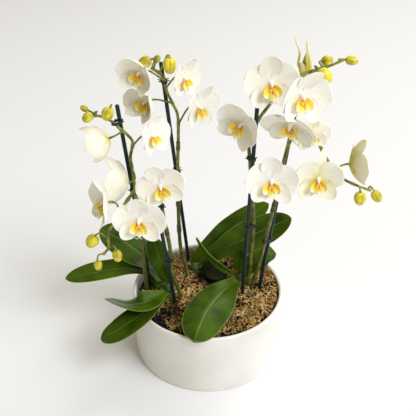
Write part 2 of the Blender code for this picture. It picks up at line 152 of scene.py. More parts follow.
def make_floor(reach):
    """A wide plane, level with the lowest point of the pot."""
    corners = [(-reach, -reach, 0), (reach, -reach, 0), (reach, reach, 0), (-reach, reach, 0)]
    mesh = bpy.data.meshes.new("floor")
    mesh.from_pydata(corners, [], [(0, 1, 2, 3)])
    floor = add_object("floor", mesh)
    floor.location.z = cad_low.z - FLOOR_GAP
    material, _ = new_material("matte pale board", Roughness=0.85, Base_Color=linear("#f1f1f1"))
    mesh.materials.append(material)


def make_panel(name, place, target, size, power, colour):
    """A soft light panel aimed at a point."""
    lamp = bpy.data.lights.new(name, "AREA")
    lamp.shape = "SQUARE"
    lamp.size = size
    lamp.energy = power
    lamp.color = linear(colour)[:3]
    panel = add_object(name, lamp)
    panel.location = place
    panel.rotation_euler = (panel.location - Vector(target)).to_track_quat("Z", "Y").to_euler()


make_floor(reach=6)
middle = (0, 0, 0.25)
make_panel("key panel", (2.1, -1.8, 3.2), middle, size=1.8, power=118, colour="#f6f9ff")
make_panel("back panel", (2.0, 2.4, 3.6), middle, size=2.0, power=54, colour="#fffefa")
world = bpy.data.worlds.new("bright room")
bpy.context.scene.world = world
world.use_nodes = True
add = partial(node, world)
way = add("TexCoord").outputs["Generated"]
side = add("Math", {0: add("SeparateXYZ", {"Vector": way}), 1: 0.5, 2: 0.5}, operation="MULTIPLY_ADD")
room = add("ValToRGB", {"Fac": side}, [(0.0, "#988a6c"), (0.5, "#cdc9be"), (1.0, "#ffffff")])
feed(world.node_tree.nodes["Background"], {"Color": room, "Strength": 0.8})

# %% [markdown]
# ## Meshes from rules
# Petals, leaves and the lip are all thin sheets: a grid of points that is bent into shape and
# then given a thickness. Stems, stakes and moss are tubes along a curve. So two builders, a
# shell and a tube, make nearly every piece. Each part also gets a UV map, which says how far along
# and how far across the part a point is; the materials draw midribs and veins from it.

# %% Smooth curves


def unit(vectors):
    return vectors / np.maximum(np.linalg.norm(vectors, axis=-1, keepdims=True), 1e-9)


def ease(share):
    share = np.clip(share, 0, 1)
    return share * share * (3 - 2 * share)


def smooth_path(points, count):
    """`count` places, equally spaced, on the Catmull-Rom curve through `points`."""
    p = np.asarray(points, float)
    p = np.vstack([2 * p[0] - p[1], p, 2 * p[-1] - p[-2]])
    t = np.linspace(0, 1, 12, endpoint=False)[:, None]
    fine = []
    for a, b, c, d in zip(p, p[1:], p[2:], p[3:]):
        bend = (2 * a - 5 * b + 4 * c - d) * t**2 + (3 * b - 3 * c + d - a) * t**3
        fine.append(0.5 * (2 * b + (c - a) * t + bend))
    fine = np.vstack([*fine, p[-2]])
    reached = np.concatenate([[0], np.cumsum(np.linalg.norm(np.diff(fine, axis=0), axis=1))])
    wanted = np.linspace(0, reached[-1], count)
    return np.stack([np.interp(wanted, reached, fine[:, axis]) for axis in range(3)], axis=1)


print("halfway along a bend:", smooth_path([(0, 0, 0), (1, 0, 0), (1, 1, 0)], 3)[1].round(2))

# %% Sheets


def grid_faces(rows, columns, wrap=False):
    """Quads of a grid numbered row by row; wrap joins the last column to the first."""
    row, column = np.meshgrid(np.arange(rows - 1), np.arange(columns if wrap else columns - 1), indexing="ij")
    beside = (column + 1) % columns
    here, above = row * columns, (row + 1) * columns
    corners = (here + column, here + beside, above + beside, above + column)
    return np.stack([c.ravel() for c in corners], axis=1)


def grid_uv(along, across):
    """A grid's UV map: u across each row, v from row to row."""
    v, u = np.meshgrid(along, across, indexing="ij")
    return np.stack([u.ravel(), v.ravel()], axis=1)


def surface(points, faces, uv=None, slot=0):
    """One closed part of a piece; slot is its material's number, for all or for each face."""
    uv = np.zeros((len(points), 2)) if uv is None else uv
    return {"points": points, "faces": faces, "uv": uv, "slot": np.broadcast_to(slot, len(faces))}


def shell(grid, thickness, slots=(0, 0)):
    """A closed thin sheet: the grid's upper and lower surface and the rim between them."""
    rows, columns = grid.shape[:2]
    normal = unit(np.cross(np.gradient(grid, axis=1), np.gradient(grid, axis=0)))
    lift = normal * (np.broadcast_to(thickness, (rows, columns))[..., None] / 2)
    points = np.concatenate([(grid + lift).reshape(-1, 3), (grid - lift).reshape(-1, 3)])
    upper = grid_faces(rows, columns)
    lower = upper[:, ::-1] + rows * columns
    index = np.arange(rows * columns).reshape(rows, columns)
    edge = np.concatenate([index[0, :-1], index[:-1, -1], index[-1, :0:-1], index[:0:-1, 0]])
    after = np.roll(edge, -1)
    rim = np.stack([edge, edge + rows * columns, after + rows * columns, after], axis=1)
    uv = grid_uv(np.linspace(0, 1, rows), np.linspace(0, 1, columns))
    slot = np.repeat([slots[0], slots[1], slots[0]], [len(upper), len(lower), len(rim)])
    return surface(points, np.concatenate([upper, lower, rim]), np.concatenate([uv, uv]), slot)


print("a 5 by 4 sheet has", len(shell(np.random.default_rng(0).random((5, 4, 3)), 0.1)["faces"]), "faces")

# %% Tubes


def tube(path, radii, sides=12, slot=0, seams=0, seam_depth=0.0):
    """A round bar along `path`, closed at both ends; seams are grooves that run along it."""
    path, radii = np.asarray(path, float), np.broadcast_to(radii, len(path)).astype(float)
    way = unit(np.gradient(path, axis=0))
    across = np.cross(way[0], (0, 0, 1) if abs(way[0][2]) < 0.9 else (1, 0, 0))
    angle = np.linspace(0, math.tau, sides, endpoint=False)[:, None]
    groove = 1 - seam_depth * np.clip(np.cos(seams * angle), 0, 1) ** 10 if seams else 1
    rings = []
    for place, heading, radius in zip(path, way, radii):
        across = unit(across - heading * np.dot(across, heading))
        beside = np.cross(heading, across)
        rings.append(place + radius * groove * (np.cos(angle) * across + np.sin(angle) * beside))
    count = len(path) * sides
    points = np.vstack([*rings, path[:1], path[-1:]])
    side, beside = np.arange(sides), (np.arange(sides) + 1) % sides
    foot, tip = np.full(sides, count), np.full(sides, count + 1)
    start = np.stack([beside, side, foot, foot], axis=1)
    end = np.stack([count - sides + side, count - sides + beside, tip, tip], axis=1)
    faces = np.concatenate([grid_faces(len(path), sides, wrap=True), start, end])
    uv = grid_uv(np.linspace(0, 1, len(path)), np.linspace(0, 1, sides, endpoint=False))
    return surface(points, faces, np.vstack([uv, [(0.5, 0), (0.5, 1)]]), slot)


print("a straight bar has", len(tube([(0, 0, 0), (0, 0, 1)], 0.1)["faces"]), "faces")

# %% Pieces


def piece(name, parts, materials, node_name):
    """Joins parts, given in millimetres, into one object that stands for a solid of the frame.

    A part's "shade" is a number that its skin reads as an attribute; each skin says what for."""
    starts = np.cumsum([0, *(len(part["points"]) for part in parts)])
    faces = np.vstack([part["faces"] + start for part, start in zip(parts, starts)])
    points, uv = (np.vstack([part[key] for part in parts]) for key in ("points", "uv"))
    shade = np.concatenate([np.broadcast_to(part.get("shade", 0.5), len(part["points"])) for part in parts])
    mesh = bpy.data.meshes.new(name)
    mesh.from_pydata((points * MM).tolist(), [], [f if f[2] != f[3] else f[:3] for f in faces.tolist()])
    layer = mesh.uv_layers.new(name="UVMap")
    corners = np.empty(len(mesh.loops), np.int32)
    mesh.loops.foreach_get("vertex_index", corners)
    layer.data.foreach_set("uv", uv[corners].astype(np.float32).ravel())
    slots = np.concatenate([part["slot"] for part in parts])
    mesh.polygons.foreach_set("material_index", slots.astype(np.int32))
    mesh.attributes.new("shade", "FLOAT", "POINT").data.foreach_set("value", shade.astype(np.float32))
    for material in materials:
        mesh.materials.append(material)
    mesh.shade_smooth()
    mesh.set_sharp_from_angle(angle=math.radians(60))
    made = add_object(name, mesh)
    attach(made, "root")
    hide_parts(node_name)
    return made


def numbers_for(name):
    """A random generator that always starts the same for a piece's name."""
    return np.random.default_rng(sum(ord(letter) * (place + 1) for place, letter in enumerate(name)))


print("a first random number:", round(numbers_for("moss").random(), 3))

# %% [markdown]
# ## The pot: slip-cast stoneware with a satin white glaze
# A cover pot like this is cast in a mould and glazed all over, so its wall is plain, its lip is
# rounded by the glaze and the surface has a very slight swell. A turned profile with a fine
# arc for the lip gives that, and a broad, faint bump keeps the glaze from looking like plastic.

# %% [markdown]
# ## Finishes with a grain
# The plain finishes here differ in how their tone drifts over the surface and how fine their
# relief is, so one recipe makes them all. A noise pattern on the object's own coordinates picks a
# tone from a ramp, and the same pattern, or a finer one, drives a bump.

# %% Glaze


def grained(name, tones, stops, strength, depth, relief=None, stretch=None, shaded=False, **values):
    """A finish whose patterns, tones and relief, are each (scale, detail).

    A scale is 1000 divided by the pattern's size in millimetres, and depth is in metres. A shaded
    finish adds its piece's own "shade" to the pattern before the ramp gives it a tone."""
    material, shader = new_material(name, **values)
    add = partial(node, material)
    place = add("TexCoord").outputs["Object"]
    if stretch:
        place = add("Mapping", {"Vector": place, "Scale": stretch})
    tone, grain = (
        add("TexNoise", {"Vector": place, "Scale": scale, "Detail": detail})
        for scale, detail in (tones, relief or tones)
    )
    if shaded:
        own = add("Attribute", attribute_name="shade").outputs["Fac"]
        tone = add("Math", {0: tone, 1: own}, operation="ADD")
    colour = add("ValToRGB", {"Fac": tone}, stops)
    bump = add("Bump", {"Height": grain, "Strength": strength, "Distance": depth})
    feed(shader, {"Base Color": colour, "Normal": bump})
    return material


# Orange-peel swells lie 1 to 2 mm apart on the real glaze, and 4 mm apart here, so that they show.
glaze = grained(
    "satin white glaze on stoneware", (18.0, 3.0), [(0.3, "#dfdbd3"), (0.7, "#e9e6e0")], 0.06, 0.0004,
    relief=(250.0, 1.0), Roughness=0.32, IOR=1.5, Coat_Weight=0.25, Coat_Roughness=0.18,
)
print("finish:", glaze.name)

# %% Pot


def arc(centre, radius, start, end, steps):
    angles = np.radians(np.linspace(start, end, steps))
    return np.stack([centre[0] + radius * np.cos(angles), centre[1] + radius * np.sin(angles)], axis=1)


def turned(profile, segments):
    """A profile of (radius, height) spun round the pot's axis."""
    angle = np.linspace(0, math.tau, segments, endpoint=False)
    radius, height = np.asarray(profile).T
    x, y = radius[:, None] * np.cos(angle), radius[:, None] * np.sin(angle)
    points = np.stack([x, y, np.broadcast_to(height[:, None], x.shape)], axis=-1).reshape(-1, 3)
    uv = grid_uv(np.linspace(0, 1, len(profile)), angle / math.tau)
    return surface(points, grid_faces(len(profile), segments, wrap=True), uv)


pot_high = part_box("pot")[1]
POT_RADIUS = pot_high.x / MM
POT_HEIGHT = pot_high.z / MM
WALL, LIP, FOOT, FLOOR = 5.0, 2.5, 2.0, 6.0
profile = np.vstack([
    [(0.05, 0.6), (POT_RADIUS - 12, 0.6), (POT_RADIUS - 11, 0)],
    arc((POT_RADIUS - FOOT, FOOT), FOOT, -90, 0, 8),
    [(POT_RADIUS, height) for height in np.linspace(8, POT_HEIGHT - 8, 12)],
    arc((POT_RADIUS - LIP, POT_HEIGHT - LIP), LIP, 0, 180, 18),
    [(POT_RADIUS - WALL, FLOOR), (0.05, FLOOR)],
])
piece("cover_pot", [turned(profile, 192)], [glaze], "pot")
print("pot radius and height in mm:", round(POT_RADIUS, 1), round(POT_HEIGHT, 1))

# %% [markdown]
# ## The growing medium: bark chips under curly dried moss
# Potted orchids grow in coarse pine bark. Here it shows only as a dark band by the front left
# of the rim. Dried sphagnum covers the rest: short, springy, curled shreds, straw to tan, with
# black gaps between them. A bump map can't give those gaps, so every shred is its own tube.
# A generator that starts from a fixed number places them, so the heap is the same each time.

# %% Bark and moss finishes
# Bark flakes are 2 to 4 mm thick in real life.
bark_skin = grained(
    "damp pine bark chips", (320.0, 5.0), [(0.35, "#0d0906"), (0.75, "#3a281b")], 0.6, 0.0008, Roughness=0.8
)
moss_skin, moss_shader = new_material(
    "dried sphagnum shreds", Roughness=0.85, Subsurface_Weight=0.05, Subsurface_Scale=0.001
)
add = partial(node, moss_skin)
# each shred has one tone, from brown through tan to pale straw, and a few stay green
tone = add(
    "ValToRGB", {"Fac": add("Attribute", attribute_name="shade").outputs["Fac"]},
    [(0.0, "#3a2a12"), (0.22, "#8a6830"), (0.45, "#e2b366"), (0.74, "#fbe0a2"), (0.88, "#b4aa58"),
     (1.0, "#fff0c8")],
)
place = add("TexCoord").outputs["Object"]
fleck = add("TexNoise", {"Vector": place, "Scale": 900.0, "Detail": 3.0})
# patches some 40 mm wide lie damper and greener than the rest
damp = add("TexNoise", {"Vector": place, "Scale": 24.0, "Detail": 1.0})
for pattern, share, stops in (
    (fleck, 0.8, [(0.35, "#b8a488"), (0.65, "#ffffff")]),
    (damp, 0.9, [(0.38, "#b9b28c"), (0.58, "#fffaf0")]),
):
    tint = add("ValToRGB", {"Fac": pattern}, stops)
    dyed = add("Mix", {FACTOR: share, FIRST: tone, SECOND: tint}, data_type="RGBA", blend_type="MULTIPLY")
    tone = dyed.outputs[MIXED]
nap = add("Bump", {"Height": fleck, "Strength": 0.5, "Distance": 0.0003})
feed(moss_shader, {"Base Color": tone, "Normal": nap})
print("medium finishes:", bark_skin.name, "and", moss_skin.name)

# %% Bark bed
BARK_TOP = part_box("bark_medium")[1].z / MM
BARK_CHIPS = 900
INNER_RADIUS = POT_RADIUS - WALL - 0.4


def chip(random, place, size):
    """One flat, split flake of bark: a five-sided prism, tumbled."""
    angle = np.sort(random.uniform(0, math.tau, 5))
    flat = np.stack([np.cos(angle) * size, np.sin(angle) * size * 0.7, np.zeros(5)], axis=1)
    thick = size * random.uniform(0.2, 0.4)
    points = np.vstack([flat - (0, 0, thick), flat * 0.85 + (0, 0, thick)])
    tumble, spin = random.uniform(-0.7, 0.7), random.uniform(0, math.tau)
    turn = np.array([[1, 0, 0], [0, math.cos(tumble), -math.sin(tumble)], [0, math.sin(tumble), math.cos(tumble)]])
    turn = np.array([[math.cos(spin), -math.sin(spin), 0], [math.sin(spin), math.cos(spin), 0], [0, 0, 1]]) @ turn
    sides = [(i, (i + 1) % 5, 5 + (i + 1) % 5, 5 + i) for i in range(5)]
    caps = [(2, 1, 0, 0), (3, 2, 0, 0), (4, 3, 0, 0), (5, 6, 7, 7), (5, 7, 8, 8), (5, 8, 9, 9)]
    return surface(points @ turn.T + place, np.array(sides + caps))


def make_bark():
    random = numbers_for("bark")
    bed = [(0.05, FLOOR + 0.4), (INNER_RADIUS, FLOOR + 0.4), (INNER_RADIUS, BARK_TOP - 4), (0.05, BARK_TOP - 3)]
    parts = [turned(bed, 96)]
    for _ in range(BARK_CHIPS):
        radius, angle = INNER_RADIUS * math.sqrt(random.uniform(0.45, 0.93)), random.uniform(0, math.tau)
        size = random.uniform(2.5, 6)
        height = BARK_TOP - random.uniform(0, 4)
        parts.append(chip(random, (radius * math.cos(angle), radius * math.sin(angle), height), size))
    return piece("bark_bed", parts, [bark_skin], "bark_medium")


print("bark faces:", len(make_bark().data.polygons))

# %% Moss bed
MOSS_RADIUS, MOSS_CENTRE, MOSS_MEAN_TOP, MOSS_SHREDS = 90.0, (2.5, 2.5), 85.5, 4600


def moss_top(x, y):
    """Height of the moss: a little higher at the back and right, with low swells."""
    return MOSS_MEAN_TOP + 1.6 * (x + y) / MOSS_RADIUS + 0.9 * np.sin(x / 17) * np.cos(y / 13)


def bare(x, y):
    """True over the two hollows by the front left of the rim, where the bark shows."""
    rim = math.hypot(x, y) > 84 and x < 30 and y < 0
    hollows = ((-62, -52, 16, 17), (-84, -8, 9, 24))
    return rim or any(math.hypot((x - a) / wide, (y - b) / deep) < 1 for a, b, wide, deep in hollows)


# Places where the moss is darkened with painted shade, round the crowns and under the leaves, and how far that
# reaches, in mm.
PAINTED_SHADE_SPOTS = ((-4, 34, 22), (16, 22, 22), (-66, 14, 20), (-48, -44, 24), (42, -25, 6), (68, 5, 5))


def shred(random, x, y, lift):
    """A curled shred: its heading turns steadily, and it lies nearly flat."""
    length, steps = random.uniform(4, 11), 6
    heading, turn = random.uniform(0, math.tau), random.normal(0, 3.0)
    climb, dip = random.normal(0, 0.35), random.normal(0, 0.5)
    share = np.linspace(-0.5, 0.5, steps)
    angle = heading + turn * share
    stride = length / (steps - 1)
    flat = np.cumsum(np.stack([np.cos(angle), np.sin(angle)], axis=1) * stride, axis=0)
    flat -= flat[steps // 2]
    rise = climb * share * length + dip * length * (0.25 - share**2)
    path = np.stack([x + flat[:, 0], y + flat[:, 1], moss_top(x, y) + lift + rise], axis=1)
    thick = random.uniform(0.5, 1.05)
    made = tube(path, thick * np.array([0.5, 0.9, 1, 1, 0.8, 0.4]), sides=4)
    # painted shade: shreds near the crowns and under the leaves, and the low ones down in the gaps, get darker
    # tones
    damp = sum(math.exp(-(((x - a) ** 2 + (y - b) ** 2) / reach**2)) for a, b, reach in PAINTED_SHADE_SPOTS)
    made["shade"] = np.clip(random.normal(0.52, 0.24) + lift * 0.09 - 0.6 * damp, 0, 1)
    return made


def make_moss():
    random = numbers_for("moss")
    parts = []
    while len(parts) < MOSS_SHREDS:
        radius, angle = MOSS_RADIUS * math.sqrt(random.uniform(0, 1)), random.uniform(0, math.tau)
        x, y = MOSS_CENTRE[0] + radius * math.cos(angle), MOSS_CENTRE[1] + radius * math.sin(angle)
        if bare(x, y) and random.uniform(0, 1) < 0.93:
            continue
        parts.append(shred(random, x, y, random.uniform(-3.5, 2.2)))
    return piece("moss_bed", parts, [moss_skin], "moss_dressing")


print("moss faces:", len(make_moss().data.polygons))

# %% [markdown]
# ## Stakes and clips
# Each spike is held to a thin rod of dark green plastic, extruded and cut, with a rounded
# top. A small claw clip of the same dark plastic closes round the rod and the stem; its two finger
# grips stick out on each side. The rods are tubes, the clips are a bent band with four short grips.

# %% Plastic finishes
# Die lines run along the rod about 1 mm apart, so the pattern is stretched ten times in height.
rod_plastic = grained(
    "extruded dark green polypropylene", (900.0, 2.0), [(0.3, "#081c1d"), (0.7, "#123334")], 0.15, 0.0002,
    stretch=(1.0, 1.0, 0.1), Roughness=0.5, IOR=1.49, Specular_IOR_Level=0.35,
)
# Spark-eroded mould texture, really under 0.1 mm and drawn at about 0.5 mm.
clip_plastic = grained(
    "moulded black-green nylon", (2000.0, 1.0), [(0.3, "#0a1213"), (0.7, "#1a2827")], 0.2, 0.0002,
    Roughness=0.42, IOR=1.53,
)
print("plastics:", rod_plastic.name, "and", clip_plastic.name)

# %% Stakes
STAKE_RADIUS = 2.4
STAKES = {
    "back": ((-21, 65, 20), (-54, 48, 384)),
    "left": ((-71, 6, 20), (-100, -6, 354)),
    "front": ((-36, -22, 20), (-62, -32, 262)),
    "inner": ((43, -18, 20), (55, -4, 354)),
    "outer": ((62, 4, 20), (99, 0, 351)),
}


def make_stake(spike):
    """A rod with a rounded top."""
    foot, top = (np.array(end, float) for end in STAKES[spike])
    way = unit(top - foot)
    dome = np.radians([0, 25, 45, 65, 80])
    path = [foot, foot + way * 0.5, *(top - way * STAKE_RADIUS * (1 - math.sin(a)) for a in dome)]
    radii = [STAKE_RADIUS - 0.4, STAKE_RADIUS, *(STAKE_RADIUS * np.cos(dome))]
    return piece("rod_" + spike, [tube(path, radii, 20)], [rod_plastic], "stake_" + spike)


for spike in STAKES:
    make_stake(spike)
print("rods:", len(STAKES))

# %% [markdown]
# ## Stems, flower stalks and buds
# A spike of a moth orchid is one stiff olive stem. It has a swollen node every few centimetres,
# each wrapped in a papery sheath, and where it flowers it turns a little at every node. Each
# flower and bud hangs on a thinner stalk. The stem follows the same points as its solid; nodes
# come from widening the tube, and sheaths are short flared tubes over it.

# %% Stem and bud skins
# Purple-brown freckles run together in patches about 4 mm across.
stem_skin = grained(
    "waxy olive stem skin", (140.0, 4.0),
    [(0.55, "#3f3a14"), (0.75, "#54581a"), (0.92, "#6c7024"), (1.0, "#8f9236")],
    0.15, 0.0003, relief=(900.0, 2.0), shaded=True,
    Roughness=0.42, IOR=1.45, Subsurface_Weight=0.08, Subsurface_Scale=0.001,
)
# Young buds are olive, and one about to open is clear yellow-green.
bud_skin = grained(
    "glossy yellow-green bud skin", (160.0, 3.0), [(0.5, "#7c7222"), (0.8, "#bcb02a"), (0.98, "#e2d640")],
    0.2, 0.0005, shaded=True, Roughness=0.35, IOR=1.45, Subsurface_Weight=0.2, Subsurface_Scale=0.003,
)
print("skins:", stem_skin.name, "and", bud_skin.name)

# %% Where the stems run
STEM_FOOT_HEIGHT, STEM_FOOT_RADIUS, STEM_TIP_RADIUS, PEDICEL_RADIUS = 73.0, 2.6, 1.3, 1.1
STEM_ROWS, STEM_SIDES = 200, 16
STEMS = {
    "back": [
        (-26, 27, 84), (-31, 38, 99), (-38, 51, 124), (-39, 50, 194), (-38, 48, 248), (-36, 46, 292),
        (-36, 44, 319), (-41, 44, 333), (-47, 44, 347), (-50, 44, 358), (-51, 43, 366), (-56, 42, 373),
        (-65, 41, 379),
    ],
    "left": [
        (-81, -2, 84), (-82, -3, 110), (-83, -5, 161), (-86, -7, 231), (-88, -8, 270), (-89, -10, 290),
        (-85, -11, 310), (-91, -12, 321), (-98, -13, 328), (-105, -13, 336), (-117, -14, 343),
        (-127, -15, 345),
    ],
    "front": [
        (-35, -18, 84), (-38, -19, 102), (-45, -21, 130), (-47, -21, 171), (-52, -22, 209),
        (-55, -23, 235), (-60, -24, 256), (-68, -30, 268), (-78, -42, 270), (-90, -54, 259), (-102, -62, 241),
        (-113, -66, 222), (-113, -68, 206), (-120, -70, 196),
    ],
    "inner": [
        (53, 6, 84), (55, 3, 110), (56, 1, 141), (57, -3, 199), (54, -2, 235), (50, -1, 276),
        (48, 1, 308), (57, 2, 331), (70, 3, 351), (85, 3, 371), (101, 3, 384), (118, 3, 390),
        (134, 4, 395), (146, 4, 401),
    ],
    "outer": [
        (59, 4, 84), (63, 2, 108), (67, 0, 130), (72, -4, 164), (82, -5, 231), (88, -5, 278),
        (93, -5, 305), (99, -4, 319), (107, -3, 324), (117, -3, 320), (124, -4, 311), (130, -8, 301),
        (136, -13, 291), (143, -18, 282), (150, -22, 275), (158, -25, 269), (173, -28, 263), (188, -30, 258),
    ],
}
print("stems:", len(STEMS))

# %% Where the buds and flowers sit
# Buds: centre, the way the tip points, length, width and where the stalk leaves the stem.
BUDS = {
    "back": [
        ((-71, 38, 387), (-1, 0, -0.4), 15, 13, 0.99),
        ((-58, 46, 388), (0.3, 0.4, 0.3), 10, 8, 0.97),
        ((-43, 34, 384), (0, 0, -1), 19, 15, 0.965),
    ],
    "left": [
        ((-109, -19, 348), (-0.3, -0.2, -0.6), 15, 13.5, 0.95),
        ((-131, -19, 344), (-0.6, -0.5, -0.3), 13, 11, 0.99),
        ((-135, -13, 352), (-0.8, 0.2, 0.3), 9, 7, 0.995),
    ],
    "front": [
        ((-132, -66, 212), (-0.5, 0, -0.8), 17, 14.5, 0.93),
        ((-104, -70, 194), (0.1, 0, -1), 15, 11.5, 0.965),
        ((-127, -72, 182), (0, 0, -1), 13, 9.5, 0.995),
    ],
    "inner": [
        ((125, -8, 387), (0.6, -0.3, -0.5), 19, 16, 0.93),
        ((131, 15, 396), (0.7, 0.5, -0.2), 14, 12, 0.94),
        ((155, 4, 400), (1, 0, -0.15), 14, 10, 0.99),
    ],
    "outer": [
        ((176, -33, 249), (0.1, 0, -1), 17, 14, 0.94),
        ((195, -33, 252), (0.5, -0.2, -0.8), 15, 12, 0.99),
    ],
}
# Flowers: centre, yaw (0 faces the front, + turns right), pitch (+ looks up), roll, width,
# cupping in degrees, where the stalk leaves the stem, and how young (greenish) the flower is.
FLOWERS = {
    "back_1": ((-73, 4, 387), -28, -6, -14, 54, 36, 0.93, 0.3),
    "back_2": ((-71, 34, 341), -36, 0, -12, 58, 42, 0.84, 0.3),
    "back_3": ((-28, 36, 369), 50, -4, -12, 50, 18, 0.90, 0.1),
    "back_4": ((-12, 26, 338), 50, -4, -12, 58, 20, 0.75, 0.0),
    "left_1": ((-63, -20, 323), 54, 6, -10, 50, 22, 0.79, 0.1),
    "left_2": ((-110, -24, 321), -88, -22, 10, 60, 44, 0.87, 0.4),
    "left_3": ((-93, -20, 264), -98, -4, 8, 66, 34, 0.70, 0.2),
    "front_1": ((-52, -50, 276), 2, -2, 20, 57, 12, 0.66, 0.0),
    "front_2": ((-74, -82, 252), -3, 0, 0, 60, 14, 0.76, 0.0),
    "front_3": ((-109, -74, 269), -66, 4, 4, 60, 24, 0.82, 0.4),
    "inner_1": ((67, -18, 383), 5, 2, 4, 63, 15, 0.82, 0.0),
    "inner_2": ((38, -34, 344), -40, -4, -20, 60, 26, 0.62, 0.0),
    "inner_3": ((70, -52, 283), -3, 10, 0, 60, 16, 0.42, 0.0),
    "inner_4": ((94, -54, 384), 25, -4, -10, 65, 26, 0.91, 0.0),
    "inner_5": ((111, 30, 375), -29, 76, 0, 80, 76, 0.88, 1.0),
    "outer_1": ((89, -38, 346), -28, -38, -2, 66, 20, 0.62, 0.2),
    "outer_2": ((122, -48, 284), -2, -2, 0, 58, 16, 0.80, 0.6),
    "outer_3": ((161, -25, 290), 92, 5, 0, 60, 28, 0.88, 0.8),
    "outer_4": ((114, -24, 327), 8, -5, 10, 43, 10, 0.66, 0.5),
}
FLOWER_BACK = 1.7  # how far behind its centre a flower meets its stalk, in mm


def face_axes(yaw, pitch, roll):
    """The right, up and outward directions of a flower's face."""
    yaw, pitch, roll = (math.radians(angle) for angle in (yaw, pitch, roll))
    out = np.array([math.sin(yaw) * math.cos(pitch), -math.cos(yaw) * math.cos(pitch), math.sin(pitch)])
    right = unit(np.cross((0, 0, 1), out))
    up = np.cross(out, right)
    return right * math.cos(roll) + up * math.sin(roll), up * math.cos(roll) - right * math.sin(roll), out


print("buds:", sum(map(len, BUDS.values())), "flowers:", len(FLOWERS))

# %% Sheaths, stalks and buds


def stem_line(spike):
    x, y, _ = STEMS[spike][0]
    return smooth_path([(x, y, STEM_FOOT_HEIGHT), *STEMS[spike]], STEM_ROWS)


def row_at(share):
    """The row of a stem that lies this share of its length from its foot."""
    return round(share * (STEM_ROWS - 1))


def sheath(path, radii, index, reach):
    """A papery sheath: a short flared tube that starts at a node."""
    span = slice(index, index + reach)
    flare = np.linspace(1.12, 1.3, len(path[span]))
    flare[-1] = 1.0
    return {**tube(path[span], radii[span] * flare, 12), "shade": 0.15}


def stalk(start, way, end, radius, shade):
    """A stalk that leaves the stem at `start` and comes in along `way` to `end`, thicker at both ends."""
    middle = start + (end - way * 9 - start) * 0.75
    path = smooth_path([start, middle, end - way * 3.5, end], 20)
    share = np.linspace(0, 1, 20)
    radii = radius * (1 + 0.5 * np.exp(-share / 0.08) + 0.25 * ease((share - 0.7) / 0.3))
    return {**tube(path, radii, 10), "shade": shade}


def bud(centre, way, length, width, shade):
    """A closed bud: three thick sepals that meet in grooves from foot to tip."""
    way = unit(np.array(way, float))
    angle = np.linspace(0.03, 0.97, 18) * math.pi
    path = np.array(centre) - way * (length / 2 * np.cos(angle))[:, None]
    radii = width / 2 * np.sin(angle) ** 0.8 * (1 - 0.12 * np.cos(angle + math.pi))
    return {**tube(path, radii, 36, slot=1, seams=3, seam_depth=0.16), "shade": shade}


print("a bud has", len(bud((0, 0, 0), (0, 0, 1), 15, 12, 0.5)["faces"]), "faces")

# %% Spikes


FIRST_NODE, NODE_GAP, NODE_SWELL, NODE_REACH = 24, 26, 0.45, 2.2  # in rows, but the swell in mm


def make_spike(spike):
    path, rows = stem_line(spike), np.arange(STEM_ROWS)
    radii = STEM_FOOT_RADIUS + (STEM_TIP_RADIUS - STEM_FOOT_RADIUS) * np.linspace(0, 1, STEM_ROWS) ** 2
    flowers = [flower for name, flower in FLOWERS.items() if name.startswith(spike)]
    joints = [row_at(flower[6]) for flower in flowers] + [row_at(young[4]) for young in BUDS[spike]]
    plain = range(FIRST_NODE, min(joints) - FIRST_NODE // 2, NODE_GAP)
    for index in [*joints, *plain]:
        radii = radii + NODE_SWELL * np.exp(-(((rows - index) / NODE_REACH) ** 2))
    shade = np.append(np.repeat(np.linspace(0.25, 0.5, STEM_ROWS), STEM_SIDES), [0.3, 0.5])
    parts = [{**tube(path, radii, STEM_SIDES), "shade": shade}]
    parts += [sheath(path, radii, index, 8) for index in plain]
    for centre, yaw, pitch, roll, _, _, branch, youth in flowers:
        out = face_axes(yaw, pitch, roll)[2]
        back = centre - out * FLOWER_BACK
        parts.append(stalk(path[row_at(branch)], out, back, PEDICEL_RADIUS, 0.4 + 0.2 * youth))
    for centre, way, length, width, branch in BUDS[spike]:
        way_in = unit(np.array(way, float))
        neck = np.array(centre) - way_in * (length * 0.42)
        parts.append(stalk(path[row_at(branch)], way_in, neck, PEDICEL_RADIUS * 0.9, 0.45))
        parts.append(bud(centre, way, length, width, 0.2 + 0.3 * (length - 9) / 10))
    return piece("stem_" + spike, parts, [stem_skin, bud_skin], "spike_" + spike)


for spike in STEMS:
    print(spike, "spike faces:", len(make_spike(spike).data.polygons))

# %% Clips
TIES = {
    "back": {"upper": 362, "lower": 240},
    "left": {"upper": 334, "lower": 243},
    "front": {"upper": 232, "lower": 153},
    "inner": {"upper": 286, "lower": 193},
    "outer": {"lower": 169},
}
BAND_HEIGHT, BAND_THICKNESS, BAND_GAP, GRIP_LENGTH = 3.2, 0.9, 1.3, 3.4


def clip_band(stake, stem, along, aside):
    """A flat band, bent round the rod and round the stem."""
    reach = STAKE_RADIUS + BAND_GAP
    loop = []
    for centre, start in ((stake, 90), (stem, -90)):
        for angle in np.radians(start + np.linspace(0, 180, 13)):
            loop.append(centre + reach * (along * math.cos(angle) + aside * math.sin(angle)))
    loop = np.array(loop)
    heart = (stake + stem) / 2
    inward = unit(heart - loop) * BAND_THICKNESS
    lift = np.array([0, 0, BAND_HEIGHT / 2])
    rings = np.stack([loop - lift, loop + lift, loop + lift + inward, loop + inward - lift], axis=1)
    faces = grid_faces(len(loop) + 1, 4, wrap=True) % (len(loop) * 4)
    return surface(rings.reshape(-1, 3), faces)


